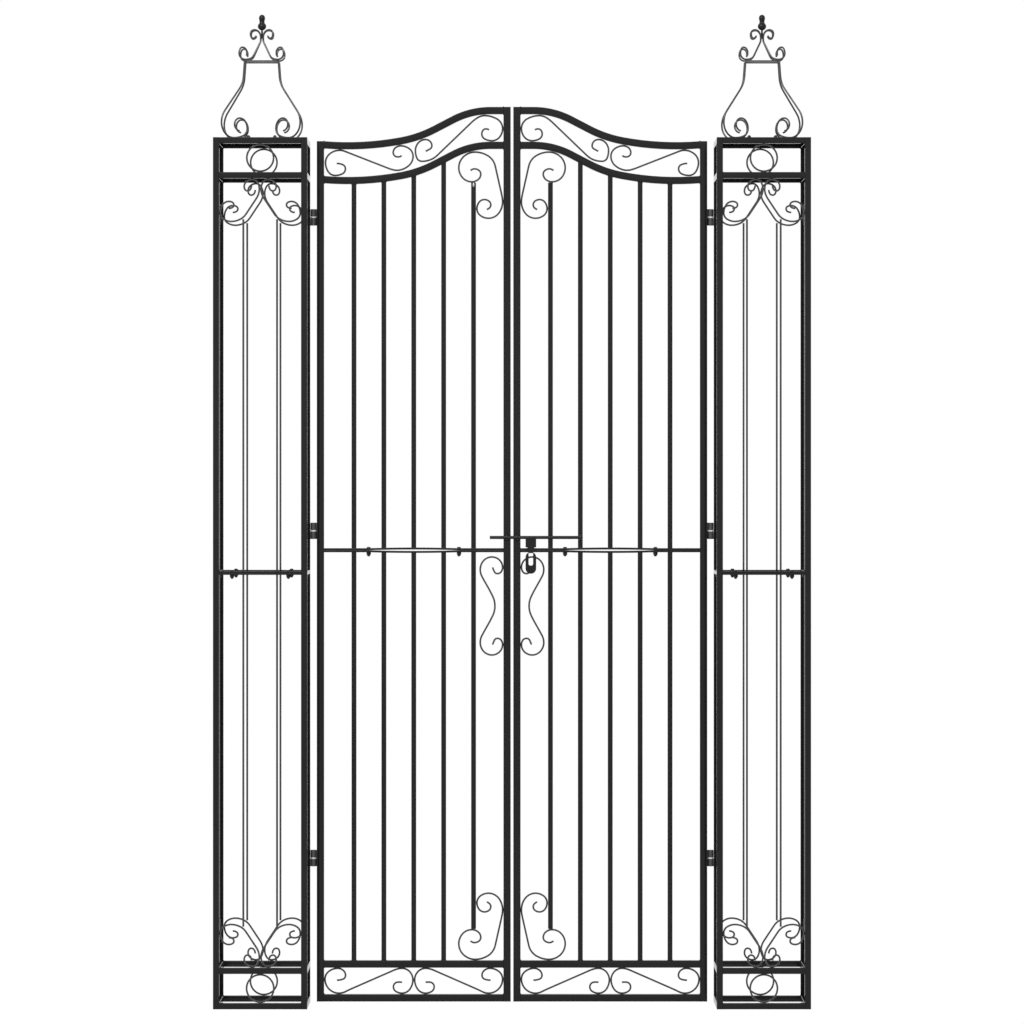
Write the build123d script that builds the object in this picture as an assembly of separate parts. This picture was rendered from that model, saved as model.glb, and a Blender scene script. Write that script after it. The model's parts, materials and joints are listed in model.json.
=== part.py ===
"""A wrought iron double gate: two lattice posts with finials, two scrolled leaves and a slide bolt.

Modelled in millimetres about the middle of the gate: X along its width, Y towards its back from the front of
the posts, Z up from the ground. The left side is modelled and mirrored. The last lines move the origin to the
foot of the left post.
"""
from build123d import *
import math
import os

# The whole gate
gate_width = 1220.0
post_side = 192.3
post_height = 1779.0
hinge_gap = 13.7
leaf_gap = 5.4
ground_gap = 0.5
weld_gap = 0.2
scroll_bar = 3.5

# Posts: square tube, end bands, the bolted middle joint and thin rods
post_tube = 12.6
foot_band_height = 59.5
head_band_height = 58.5
post_joint_height = 890.0
post_joint_bar = 3.2
post_rod_size = 3.6
post_rod_offset = 34.4
post_scroll_height = 88.0

# Leaves: square tube frame, upright bars and the bolted middle joint
leaf_tube = 15.0
leaf_bar = 9.2
bar_spaces = 6
base_band_height = 55.0
leaf_joint_height = 934.5
leaf_joint_bar = 4.0
leaf_joint_depth = 12.0
leaf_joint_bow = 1.4
leaf_bolt_offset = 93.5

# The swept top rail, from the meeting stile outwards, along its middle line
crest_height = 1852.0
crest_flat = 42.0
crest_radius = 166.5
sweep_slope = 27.5
sweep_run = 43.0
dip_radius = 249.5
dip_slope = 10.5
shoulder_radius = 607.5
top_band_drop = 72.0

# Scrolls beside the meeting stile, with their gaps to the upright bars beside them
corner_scroll_height = 137.0
corner_scroll_gap = 0.5
corner_scroll_drop = 0.3
handle_scroll_height = 203.0
handle_scroll_gap = 9.0
handle_scroll_drop = 9.7

# Hinges
hinge_heights = (296.7, 974.5, 1623.8)
hinge_setback = 6.0
knuckle_radius = 6.6
knuckle_length = 14.5
washer_thickness = 4.2
pin_radius = 3.5
pin_play = 0.05
hinge_play = 0.1
pin_end_gap = 1.0
knuckle_roof = 2.5

# Slide bolt
bolt_radius = 3.1
bolt_play = 0.05
bolt_height = 960.5
bolt_standoff = 5.5
bolt_tip_reach = 46.0
bolt_tail_reach = 5.0
staple_wall = 3.5
staple_width = 4.0
tongue_offset = 39.0
tongue_width = 22.0
tongue_thickness = 4.0
tongue_block_height = 20.5
tongue_neck_width = 14.4
tongue_neck_height = 9.5
tongue_eye_height = 45.0
tongue_slot_width = 8.4
tongue_slot_height = 26.0
tongue_slot_drop = 2.0
tongue_corner = 3.0

# Finials, whose rods stand in two crossing planes at an angle to the gate
finial_angle = 36.0
cross_width = 12.0
cross_thickness = 4.0
bell_height = 158.5
bell_reach = 80.5
crown_height = 63.7
crown_reach = 45.5
spire_height = 32.0
spire_radius = 8.9
spigot_radius = 1.9
spigot_length = 18.0

# Each scroll point is (across share, up share, heading in degrees) of the box that the scroll fills, and
# a heading of None marks the two ends of a straight run. In the top band the up share runs from rail to rail,
# and the heading is measured from the slope of the rails.
post_scroll_shares = (
    (0.217, 0.692, 0),
    (0.351, 0.607, 270),
    (0.225, 0.526, 180),
    (0.000, 0.797, 90),
    (0.286, 1.000, 0),
    (0.660, 0.825, None),
    (0.925, 0.455, None),
    (1.000, 0.233, 270),
    (0.820, 0.000, 180),
    (0.614, 0.175, 90),
    (0.698, 0.276, 0),
    (0.800, 0.150, 270),
)
base_scroll_shares = (
    (0.136, 0.523, 0),
    (0.234, 0.718, 90),
    (0.144, 1.000, 180),
    (0.000, 0.564, 270),
    (0.159, 0.000, 0),
    (0.302, 0.180, None),
    (0.780, 0.920, None),
    (0.876, 1.000, 0),
    (1.000, 0.538, 270),
    (0.876, 0.000, 180),
    (0.778, 0.256, 90),
    (0.831, 0.446, 0),
    (0.876, 0.430, -30),
)
low_band_scroll_shares = (
    (0.066, 0.486, 2),
    (0.115, 0.286, 270),
    (0.058, 0.017, 182),
    (0.003, 0.487, 94),
    (0.082, 0.998, 2),
    (0.134, 0.902, None),
    (0.360, 0.182, None),
    (0.419, 0.055, 0),
    (0.496, 0.480, 74),
    (0.427, 0.990, 170),
    (0.384, 0.775, 261),
    (0.409, 0.579, -10),
    (0.431, 0.613, 49),
)
high_band_scroll_shares = (
    (0.567, 0.490, 7),
    (0.602, 0.604, 64),
    (0.567, 0.960, 157),
    (0.509, 0.676, 252),
    (0.546, 0.151, -21),
    (0.631, 0.099, None),
    (0.830, 0.834, None),
    (0.902, 0.990, -4),
    (1.000, 0.479, 270),
    (0.940, 0.010, 180),
    (0.883, 0.289, 84),
    (0.906, 0.474, -3),
    (0.924, 0.431, -41),
)
corner_curl_share = 0.415
corner_scroll_shares = (
    (0.266, 0.723, 30),
    (0.358, 0.747, 0),
    (0.502, 0.668, 270),
    (0.297, 0.551, 180),
    (0.000, 0.763, 90),
    (0.373, 1.000, 0),
    (0.832, 0.790, None),
    (0.972, 0.378, None),
    (1.000, 0.247, 270),
    (0.679, 0.000, 180),
    (corner_curl_share, 0.146, 90),
    (0.587, 0.283, 0),
    (0.731, 0.202, 270),
    (0.639, 0.132, 200),
)
handle_scroll_shares = (
    (0.551, 0.894, 290),
    (0.772, 0.830, 0),
    (1.000, 0.894, 90),
    (0.521, 1.000, 180),
    (0.000, 0.873, 270),
    (0.240, 0.735, None),
    (0.430, 0.645, None),
    (0.659, 0.500, 270),
    (0.430, 0.355, None),
    (0.240, 0.265, None),
    (0.000, 0.127, 270),
    (0.521, 0.000, 0),
    (1.000, 0.106, 90),
    (0.772, 0.170, 180),
    (0.551, 0.106, 250),
)
bell_shares = (
    (0.432, 1.000, 275),
    (0.561, 0.648, None),
    (0.912, 0.365, None),
    (1.000, 0.207, 270),
    (0.704, 0.013, 180),
    (0.366, 0.142, 90),
    (0.545, 0.270, 0),
    (0.677, 0.188, 270),
    (0.560, 0.105, 190),
)
crown_shares = (
    (0.675, 0.154, 98),
    (0.664, 0.248, 90),
    (0.845, 0.418, 0),
    (1.000, 0.221, 270),
    (0.750, 0.031, 180),
    (0.363, 0.180, None),
    (0.110, 0.600, None),
    (0.080, 0.763, 90),
    (0.315, 1.000, 0),
    (0.503, 0.876, 270),
    (0.402, 0.727, 180),
    (0.270, 0.816, 90),
)
spire_waist_share = 0.56
spire_head_share = 0.73
spire_foot_share = 0.40
spire_bulb_share = 0.90
spire_bulb_up_share = 0.15
spire_collar_up_share = 0.33
spire_waist_up_share = 0.59
shoulder_shares = (0.36, 0.60)
corner_bar_rest_share = 0.5495
path_halvings = 40
path_steps = 100

# Places that follow from the driving dimensions
post_x = -(gate_width - post_side) / 2
post_inside = post_side - 2 * post_tube
post_inner_x = -gate_width / 2 + post_side
leaf_outer_x = post_inner_x + hinge_gap
leaf_inner_x = -leaf_gap / 2
leaf_y = post_side - post_tube / 2
clear_outer_x = leaf_outer_x + leaf_tube
clear_inner_x = leaf_inner_x - leaf_tube
clear_width = clear_inner_x - clear_outer_x
leaf_middle_x = (clear_outer_x + clear_inner_x) / 2
bar_step = clear_width / bar_spaces
bar_places = [clear_outer_x + bar_step * (count + 1) for count in range(bar_spaces - 1)]
hinge_x = post_inner_x + hinge_gap / 2
hinge_y = leaf_y + hinge_setback
bolt_y = leaf_y - leaf_tube / 2 - bolt_standoff
scroll_seat = scroll_bar / 2 + weld_gap
handle_scroll_width = bar_step - leaf_bar / 2 - scroll_seat - handle_scroll_gap
corner_curl_reach = bar_step - leaf_bar / 2 - scroll_seat - scroll_bar / 2 - corner_scroll_gap
corner_scroll_width = corner_curl_reach / (1 - corner_curl_share)


def slab(low_x, high_x, low_z, high_z, depth):
    """A flat bar or tube in the working plane, where local Y is up and local Z is its depth."""
    middle = Pos((low_x + high_x) / 2, (low_z + high_z) / 2, 0)
    return middle * Box(high_x - low_x, high_z - low_z, depth)


def facing_front(x, y):
    """The upright plane that looks to the front, at this place."""
    return Plane(origin=(x, y, 0), x_dir=(1, 0, 0), z_dir=(0, -1, 0))


def facing_side(x, y):
    """The upright plane that looks to the right, at this place."""
    return Plane(origin=(x, y, 0), x_dir=(0, 1, 0), z_dir=(1, 0, 0))


def tangent_arcs(start, start_heading, end, end_heading):
    """Two arcs that leave the start and reach the end along the given headings."""
    chord = end - start
    along = chord.dot(start_heading + end_heading)
    spread = 2 * (1 - start_heading.dot(end_heading))
    reach = (math.sqrt(along**2 + spread * chord.dot(chord)) - along) / spread
    middle = (start + end + (start_heading - end_heading) * reach) * 0.5
    middle_heading = (end - end_heading * reach) - (start + start_heading * reach)
    return [
        Edge.make_tangent_arc(start, start_heading, middle),
        Edge.make_tangent_arc(middle, middle_heading, end),
    ]


def in_box(shares, low_x, high_x, low_z, high_z):
    """A scroll's points and headings in the box that it fills."""
    return [
        (Vector(low_x + across * (high_x - low_x), low_z + up * (high_z - low_z)), heading)
        for across, up, heading in shares
    ]


def scroll_path(places):
    """The middle line of a scroll, as arcs that run into each other and straight runs."""
    points = [point for point, heading in places]
    runs = [heading is None for point, heading in places]
    headings = []
    for place, (point, heading) in enumerate(places):
        if heading is not None:
            turn = math.radians(heading)
            headings.append(Vector(math.cos(turn), math.sin(turn)))
        elif runs[place - 1]:
            headings.append((point - points[place - 1]).normalized())
        else:
            headings.append((points[place + 1] - point).normalized())
    edges = []
    for place in range(len(points) - 1):
        if runs[place] and runs[place + 1]:
            edges.append(Edge.make_line(points[place], points[place + 1]))
        else:
            edges += tangent_arcs(
                points[place], headings[place], points[place + 1], headings[place + 1]
            )
    return Wire(edges)


def bent_bar(path, width, depth):
    """A bar bent to a path in the working plane."""
    section = Plane(origin=path @ 0, x_dir=(0, 0, 1), z_dir=path % 0)
    return sweep(section * Rectangle(depth, width), path=path)


def scroll(places):
    """A scroll of square bar along its middle line."""
    return bent_bar(scroll_path(places), scroll_bar, scroll_bar)


def share_at(path, x, first, last):
    """The share of a path at which it passes a place, between two shares where it runs steadily across."""
    rising = (path @ first).X < (path @ last).X
    for halving in range(path_halvings):
        middle = (first + last) / 2
        if ((path @ middle).X < x) == rising:
            first = middle
        else:
            last = middle
    return first


# Scroll pairs and rings of a post's sides
foot_rail_low = post_tube + foot_band_height
foot_rail_top = foot_rail_low + post_tube
head_rail_top = post_height - post_tube - head_band_height
head_rail_low = head_rail_top - post_tube
post_scroll_path = scroll_path(
    in_box(
        post_scroll_shares,
        scroll_seat - post_inside / 2,
        -scroll_seat,
        foot_rail_top + scroll_seat,
        foot_rail_top + post_scroll_height,
    )
)
shoulder_share = share_at(post_scroll_path, -post_rod_offset - post_rod_size / 2, *shoulder_shares)
post_rod_low = (post_scroll_path @ shoulder_share).Y + scroll_seat * math.sqrt(2)
post_rod_high = head_rail_low - (post_rod_low - foot_rail_top)


def post_side_half(upper, with_corners):
    """Half a side of a post: end rails, the joint's flat bar, two rods and, if asked, the corner tubes."""
    half = post_inside / 2
    if upper:
        joint = slab(-half, half, post_joint_height, post_joint_height + post_joint_bar, post_tube)
        rails = [(head_rail_low, head_rail_top), (post_height - post_tube, post_height)]
        ends = (post_joint_height, post_height)
        rod_ends = (post_joint_height, post_rod_high)
    else:
        joint = slab(-half, half, post_joint_height - post_joint_bar, post_joint_height, post_tube)
        rails = [(0, post_tube), (foot_rail_low, foot_rail_top)]
        ends = (0, post_joint_height)
        rod_ends = (post_rod_low, post_joint_height)
    bars = [joint]
    bars += [slab(-half, half, low, high, post_tube) for low, high in rails]
    for side in (-1, 1):
        rod_x = side * post_rod_offset
        bars.append(
            slab(rod_x - post_rod_size / 2, rod_x + post_rod_size / 2, *rod_ends, post_rod_size)
        )
    if with_corners:
        bars.append(slab(-half - post_tube, -half, *ends, post_tube))
        bars.append(slab(half, half + post_tube, *ends, post_tube))
    return Part() + bars


def post_ornament():
    """The rings and scrolls of one side of a post, in the working plane."""
    low_scroll = bent_bar(post_scroll_path, scroll_bar, scroll_bar)
    low_pair = [low_scroll, mirror(low_scroll, about=Plane.YZ)]
    turn_height = (foot_rail_top + head_rail_low) / 2
    high_pair = [mirror(each, about=Plane.XZ.offset(-turn_height)) for each in low_pair]
    rings = []
    for low, band in ((post_tube, foot_band_height), (head_rail_top, head_band_height)):
        outer = band / 2 - weld_gap
        ring = extrude(Circle(outer) - Circle(outer - scroll_bar), scroll_bar / 2, both=True)
        rings.append(Pos(0, low + band / 2, 0) * ring)
    return low_pair + high_pair + rings


def post_sides():
    """The four sides of the left post, each with its plane and whether it carries the corner tubes."""
    front = facing_front(post_x, post_tube / 2)
    back = facing_front(post_x, post_side - post_tube / 2)
    outer = facing_side(-gate_width / 2 + post_tube / 2, post_side / 2)
    inner = facing_side(post_inner_x - post_tube / 2, post_side / 2)
    return {
        "front": (front, True),
        "back": (back, True),
        "outer": (outer, False),
        "inner": (inner, False),
    }


def finial_cross():
    """Two crossing flat bars in the post's top, which carry the finial."""
    span = post_side * math.sqrt(2)
    cross = Part() + [
        Rot(0, 0, turn) * Box(span, cross_width, cross_thickness) for turn in (finial_angle, -finial_angle)
    ]
    cross = cross & Box(post_inside, post_inside, cross_thickness)
    return Pos(post_x, post_side / 2, post_height - cross_thickness / 2) * cross


def around_post(bar):
    """Four copies of a bar in the finial's planes, with its local X outwards from the post's axis."""
    copies = []
    for turn in (finial_angle, 180 - finial_angle, 180 + finial_angle, -finial_angle):
        outward = Vector(math.cos(math.radians(turn)), math.sin(math.radians(turn)))
        upright = Plane(
            origin=(post_x, post_side / 2, 0), x_dir=outward, z_dir=outward.cross(Vector(0, 0, 1))
        )
        copies.append(upright * bar)
    return copies


def finial_bell():
    """The four bell rods on the cross and the square neck ring that they carry."""
    slant = math.radians(finial_angle)
    high = post_height + bell_height - weld_gap
    rod = scroll(in_box(bell_shares, 0, bell_reach / math.cos(slant), post_height, high))
    neck_width = 2 * bell_shares[0][0] * bell_reach
    neck_depth = neck_width * math.tan(slant)
    outer = Rectangle(neck_width + scroll_bar, neck_depth + scroll_bar)
    inner = Rectangle(neck_width - scroll_bar, neck_depth - scroll_bar)
    neck = Pos(post_x, post_side / 2, post_height + bell_height) * extrude(outer - inner, scroll_bar)
    return around_post(rod) + [neck]


def finial_crown():
    """Four scrolls on the neck ring, which meet around the spire's spigot."""
    low = post_height + bell_height + scroll_bar
    reach = crown_reach / math.cos(math.radians(finial_angle))
    bar = scroll(in_box(crown_shares, 0, reach, low, low + crown_height))
    return around_post(bar)


def finial_spire():
    """A turned spire with a bulb, a waist and a round head, on a spigot between the crown scrolls."""
    waist = spire_radius * spire_waist_share
    head = spire_radius * spire_head_share
    foot = spire_radius * spire_foot_share
    bulb = spire_radius * spire_bulb_share
    bulb_up = spire_height * spire_bulb_up_share
    collar_up = spire_height * spire_collar_up_share
    waist_up = spire_height * spire_waist_up_share
    head_up = spire_height - head
    outline = [
        Line((0, -spigot_length), (spigot_radius, -spigot_length)),
        Line((spigot_radius, -spigot_length), (spigot_radius, 0)),
        Line((spigot_radius, 0), (foot, 0)),
        ThreePointArc((foot, 0), (bulb, bulb_up), (spire_radius, collar_up)),
        Line((spire_radius, collar_up), (head, collar_up + head - waist)),
        ThreePointArc(
            (head, collar_up + head - waist), (waist, waist_up), (head, head_up)
        ),
        TangentArc((head, head_up), (0, spire_height), tangent=(0, 1)),
        Line((0, spire_height), (0, -spigot_length)),
    ]
    profile = Plane.XZ * make_face(Curve() + outline)
    base = post_height + bell_height + scroll_bar + crown_height
    return Pos(post_x, post_side / 2, base) * revolve(profile, Axis.Z)


def top_rail_path():
    """The middle line of a leaf's swept top rail, from inside the meeting stile to inside the outer stile."""
    start = Vector(leaf_inner_x - leaf_tube / 2, crest_height - leaf_tube / 2)
    end_x = leaf_outer_x + leaf_tube / 2
    flat = Line(start, (leaf_inner_x - crest_flat, start.Y))
    fall = JernArc(flat @ 1, flat % 1, crest_radius, sweep_slope)
    run = Line(fall @ 1, (fall @ 1) + (fall % 1) * sweep_run)
    dip = JernArc(run @ 1, run % 1, dip_radius, dip_slope - sweep_slope)
    last_rise = math.sin(math.radians(dip_slope)) - ((dip @ 1).X - end_x) / shoulder_radius
    shoulder_turn = math.degrees(math.asin(last_rise)) - dip_slope
    shoulder = JernArc(dip @ 1, dip % 1, shoulder_radius, shoulder_turn)
    return Wire([flat.edge(), fall.edge(), run.edge(), dip.edge(), shoulder.edge()])


top_rail_line = top_rail_path()
band_rail_line = Pos(0, -top_band_drop, 0) * top_rail_line
base_rail_low = ground_gap + leaf_tube + base_band_height
base_rail_top = base_rail_low + leaf_tube
outer_stile_top = (top_rail_line @ 1).Y + leaf_tube / 2


def corner_scroll_top():
    """The height at which the upper corner scroll hangs clear of the swept rail above it."""
    high_x = clear_inner_x - scroll_seat
    places = in_box(corner_scroll_shares, high_x - corner_scroll_width, high_x, -corner_scroll_height, 0)
    path = scroll_path(places)
    tops = []
    for step in range(path_steps):
        point = path @ (step / path_steps)
        rail_share = share_at(band_rail_line, point.X, 0, 1)
        seat = (leaf_tube + scroll_bar) / 2 / -(band_rail_line % rail_share).X
        tops.append((band_rail_line @ rail_share).Y - seat - point.Y)
    return min(tops) - corner_scroll_drop


corner_low = corner_scroll_top() - corner_scroll_height
corner_bar_high = corner_low + corner_bar_rest_share * corner_scroll_height - scroll_seat
corner_bar_low = (
    base_rail_top + scroll_seat + (1 - corner_bar_rest_share) * corner_scroll_height + scroll_seat
)


def joint_bar(upper):
    """One of the two flat bars of a leaf's middle joint, which bow apart between their bolts."""
    side = 1 if upper else -1
    near = leaf_joint_height
    far = leaf_joint_height + side * leaf_joint_bar
    bow = side * leaf_joint_bow
    left_bolt = leaf_middle_x - leaf_bolt_offset
    right_bolt = leaf_middle_x + leaf_bolt_offset
    edges = []
    for level in (near, far):
        edges.append(Line((clear_outer_x, level), (left_bolt, level)))
        edges.append(
            ThreePointArc((left_bolt, level), (leaf_middle_x, level + bow), (right_bolt, level))
        )
        edges.append(Line((right_bolt, level), (clear_inner_x, level)))
    for end_x in (clear_outer_x, clear_inner_x):
        edges.append(Line((end_x, near), (end_x, far)))
    return extrude(make_face(Curve() + edges), leaf_joint_depth / 2, both=True)


def height_of_rail(path, x):
    """The height at which a top rail's middle line passes the given place."""
    return (path @ share_at(path, x, 0, 1)).Y


def leaf_half(upper):
    """Half a leaf: stiles, upright bars, the joint's flat bar and the swept or straight rails."""
    bars = [joint_bar(upper)]
    joint_face = leaf_joint_height + (leaf_joint_bar / 2 if upper else -leaf_joint_bar / 2)
    if upper:
        bars.append(slab(leaf_outer_x, clear_outer_x, leaf_joint_height, outer_stile_top, leaf_tube))
        bars.append(slab(clear_inner_x, leaf_inner_x, leaf_joint_height, crest_height, leaf_tube))
        for path in (top_rail_line, band_rail_line):
            bars.append(bent_bar(path, leaf_tube, leaf_tube))
        ends = [(joint_face, height_of_rail(band_rail_line, x)) for x in bar_places[:-1]]
        ends.append((joint_face, corner_bar_high))
    else:
        bars.append(slab(leaf_outer_x, clear_outer_x, ground_gap, leaf_joint_height, leaf_tube))
        bars.append(slab(clear_inner_x, leaf_inner_x, ground_gap, leaf_joint_height, leaf_tube))
        for low in (ground_gap, base_rail_low):
            bars.append(slab(clear_outer_x, clear_inner_x, low, low + leaf_tube, leaf_tube))
        ends = [(base_rail_top, joint_face) for x in bar_places[:-1]]
        ends.append((corner_bar_low, joint_face))
    for x, (low, high) in zip(bar_places, ends):
        bars.append(slab(x - leaf_bar / 2, x + leaf_bar / 2, low, high, leaf_bar))
    return facing_front(0, leaf_y) * (Part() + bars)


def upside_down(shares):
    """The same scroll shape turned over."""
    return [
        (across, 1 - up, None if heading is None else -heading) for across, up, heading in shares
    ]


def in_band(shares):
    """A scroll's points and headings between the two swept rails, whose slope it follows."""
    low_x = clear_outer_x + scroll_seat
    high_x = clear_inner_x - scroll_seat
    places = []
    for across, up, heading in shares:
        x = low_x + across * (high_x - low_x)
        rail_share = share_at(band_rail_line, x, 0, 1)
        outwards = band_rail_line % rail_share
        slope = math.degrees(math.atan2(-outwards.Y, -outwards.X))
        seat = (leaf_tube / 2 + scroll_seat) / -outwards.X
        room = top_band_drop - 2 * seat
        point = Vector(x, (band_rail_line @ rail_share).Y + seat + up * room)
        places.append((point, None if heading is None else heading + slope))
    return places


def leaf_ornament():
    """The left leaf's scrolls: two in the base band, two in the top band and three at the meeting stile."""
    base = scroll(
        in_box(
            base_scroll_shares,
            clear_outer_x + scroll_seat,
            leaf_middle_x - scroll_seat,
            ground_gap + leaf_tube + scroll_seat,
            base_rail_low - scroll_seat,
        )
    )
    bars = [base, mirror(base, about=Plane.YZ.offset(leaf_middle_x))]
    bars += [scroll(in_band(shares)) for shares in (low_band_scroll_shares, high_band_scroll_shares)]
    stile_x = clear_inner_x - scroll_seat
    corner_x = stile_x - corner_scroll_width
    low = base_rail_top + scroll_seat
    for shares, foot in ((corner_scroll_shares, corner_low), (upside_down(corner_scroll_shares), low)):
        bars.append(scroll(in_box(shares, corner_x, stile_x, foot, foot + corner_scroll_height)))
    high = leaf_joint_height - leaf_joint_bar - handle_scroll_drop
    handle_x = stile_x - handle_scroll_width
    bars.append(
        scroll(in_box(handle_scroll_shares, handle_x, stile_x, high - handle_scroll_height, high))
    )
    return [facing_front(0, leaf_y) * bar for bar in bars]


def upright(radius, low, high):
    """A round bar on the hinge line between two heights."""
    return Pos(hinge_x, hinge_y, (low + high) / 2) * Cylinder(radius, high - low)


def tang(end_x, low, high):
    """The flat that joins a knuckle to the tube beside it."""
    low_x = min(hinge_x, end_x)
    high_x = max(hinge_x, end_x)
    middle = Pos((low_x + high_x) / 2, hinge_y - knuckle_radius / 2, (low + high) / 2)
    return middle * Box(high_x - low_x, knuckle_radius, high - low)


def hinge_pins():
    """The lower knuckles on the post, each with its pin."""
    pins = []
    for height in hinge_heights:
        high = height - washer_thickness / 2
        low = high - knuckle_length
        top = height + washer_thickness / 2 + hinge_play + knuckle_length - knuckle_roof - pin_end_gap
        pins.append(
            upright(knuckle_radius, low, high)
            + tang(post_inner_x, low, high)
            + upright(pin_radius, low, top)
        )
    return pins


def hinge_washers():
    """The pale washers on the pins."""
    washers = []
    for height in hinge_heights:
        low = height - washer_thickness / 2
        high = height + washer_thickness / 2
        washers.append(
            upright(knuckle_radius, low, high) - upright(pin_radius + pin_play, low, high)
        )
    return washers


def hinge_knuckles():
    """The upper knuckles on the leaf, bored from below for the pins."""
    knuckles = []
    for height in hinge_heights:
        low = height + washer_thickness / 2 + hinge_play
        high = low + knuckle_length
        knuckles.append(
            upright(knuckle_radius, low, high)
            + tang(leaf_outer_x, low, high)
            - upright(pin_radius + pin_play, low, high - knuckle_roof)
        )
    return knuckles


def slide_bolt():
    """The bolt rod with its hanging slotted tongue, shut across the meeting stiles."""
    tail_x = -bar_places[-2] + bolt_tail_reach
    rod = Pos((tail_x - bolt_tip_reach) / 2, bolt_y, bolt_height) * (
        Rot(0, 90, 0) * Cylinder(bolt_radius, tail_x + bolt_tip_reach)
    )
    block_low = bolt_height - tongue_block_height
    eye_high = block_low - tongue_neck_height
    eye_low = eye_high - tongue_eye_height
    slot_high = eye_high - tongue_slot_drop
    block = Rectangle(tongue_width, tongue_block_height, align=(Align.CENTER, Align.MIN))
    neck = Rectangle(tongue_neck_width, tongue_neck_height, align=(Align.CENTER, Align.MIN))
    plate = Pos(0, block_low) * block + Pos(0, eye_high) * neck
    eye = Pos(0, (eye_low + eye_high) / 2) * RectangleRounded(
        tongue_width, tongue_eye_height, tongue_width / 2 - tongue_corner
    )
    slot = Pos(0, slot_high) * Rectangle(
        tongue_slot_width, tongue_slot_height, align=(Align.CENTER, Align.MAX)
    )
    plate = plate + eye - slot
    tongue = extrude(plate, tongue_thickness / 2, both=True)
    return rod + facing_front(tongue_offset, bolt_y) * tongue


def staple(x, back_y):
    """A guide bent around the bolt rod, with its legs on the bar behind it."""
    outer = bolt_radius + bolt_play + staple_wall
    front = Rectangle(2 * outer, 2 * outer, align=(Align.MAX, Align.CENTER))
    legs = Rectangle(back_y - bolt_y, 2 * outer, align=(Align.MIN, Align.CENTER))
    hoop = (Circle(outer) & front) + legs - Circle(bolt_radius + bolt_play)
    return facing_side(x, bolt_y) * (Pos(0, bolt_height) * extrude(hoop, staple_width / 2, both=True))


def mirrored(solids):
    """The same solids on the right side of the gate."""
    return [mirror(solid, about=Plane.YZ) for solid in solids]


# The left side's pieces, each a list of solids
left_pieces = {}
ornaments = []
for side_name, (side_plane, with_corners) in post_sides().items():
    for half_name in ("lower", "upper"):
        half = side_plane * post_side_half(half_name == "upper", with_corners)
        left_pieces[f"post_{side_name}_{half_name}"] = [half]
    ornaments += [side_plane * solid for solid in post_ornament()]
left_pieces["post_scrolls"] = ornaments
left_pieces["finial_cross"] = [finial_cross()]
left_pieces["finial_bell"] = finial_bell()
left_pieces["finial_crown"] = finial_crown()
left_pieces["finial_spire"] = [finial_spire()]
left_pieces["hinge_pins"] = hinge_pins()
left_pieces["hinge_washers"] = hinge_washers()
left_pieces["leaf_lower"] = [leaf_half(False)]
left_pieces["leaf_upper"] = [leaf_half(True)]
left_pieces["leaf_scrolls"] = leaf_ornament()
left_pieces["hinge_knuckles"] = hinge_knuckles()

stile_x = (clear_inner_x + leaf_inner_x) / 2
stile_face_y = leaf_y - leaf_tube / 2
bar_face_y = leaf_y - leaf_bar / 2
pieces = {}
for name, solids in left_pieces.items():
    pieces[f"left_{name}"] = solids
    pieces[f"right_{name}"] = mirrored(solids)
pieces["slide_bolt"] = [slide_bolt()]
pieces["bolt_guides"] = [staple(-stile_x, stile_face_y), staple(-bar_places[-2], bar_face_y)]
pieces["bolt_keeper"] = [staple(stile_x, stile_face_y)]

# The origin is on the underside of the left post's front rail
origin_shift = Pos(-post_x, -post_tube / 2, 0)
os.makedirs("parts", exist_ok=True)
for name, solids in pieces.items():
    moved = [origin_shift * solid for each in solids for solid in each.solids()]
    shape = moved[0] if len(moved) == 1 else Compound(children=moved)
    export_step(shape, f"parts/{name}.step")
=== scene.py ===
import json
import math
import random

import bmesh
import bpy
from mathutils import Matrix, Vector


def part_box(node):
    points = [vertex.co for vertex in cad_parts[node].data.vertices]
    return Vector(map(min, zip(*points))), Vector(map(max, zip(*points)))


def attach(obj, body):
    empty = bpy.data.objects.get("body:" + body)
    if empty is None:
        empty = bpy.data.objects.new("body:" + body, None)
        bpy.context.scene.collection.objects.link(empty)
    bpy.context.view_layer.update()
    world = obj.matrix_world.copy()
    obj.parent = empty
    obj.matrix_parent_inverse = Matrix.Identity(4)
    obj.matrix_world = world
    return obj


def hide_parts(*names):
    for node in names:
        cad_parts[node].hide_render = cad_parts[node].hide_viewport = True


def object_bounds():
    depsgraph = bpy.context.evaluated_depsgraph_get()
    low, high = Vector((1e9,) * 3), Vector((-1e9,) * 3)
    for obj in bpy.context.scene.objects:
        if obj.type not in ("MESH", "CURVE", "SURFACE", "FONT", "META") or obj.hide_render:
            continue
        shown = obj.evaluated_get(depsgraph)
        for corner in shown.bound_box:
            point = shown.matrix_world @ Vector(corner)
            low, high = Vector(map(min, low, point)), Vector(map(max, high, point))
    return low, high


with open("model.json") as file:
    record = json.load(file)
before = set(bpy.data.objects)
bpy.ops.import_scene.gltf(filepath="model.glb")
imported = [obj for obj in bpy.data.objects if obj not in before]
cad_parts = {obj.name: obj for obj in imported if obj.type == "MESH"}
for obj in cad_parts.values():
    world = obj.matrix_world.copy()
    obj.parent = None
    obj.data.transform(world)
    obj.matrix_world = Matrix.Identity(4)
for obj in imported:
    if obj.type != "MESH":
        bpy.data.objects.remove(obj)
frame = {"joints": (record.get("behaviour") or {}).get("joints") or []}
solid_low, solid_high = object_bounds()


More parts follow.
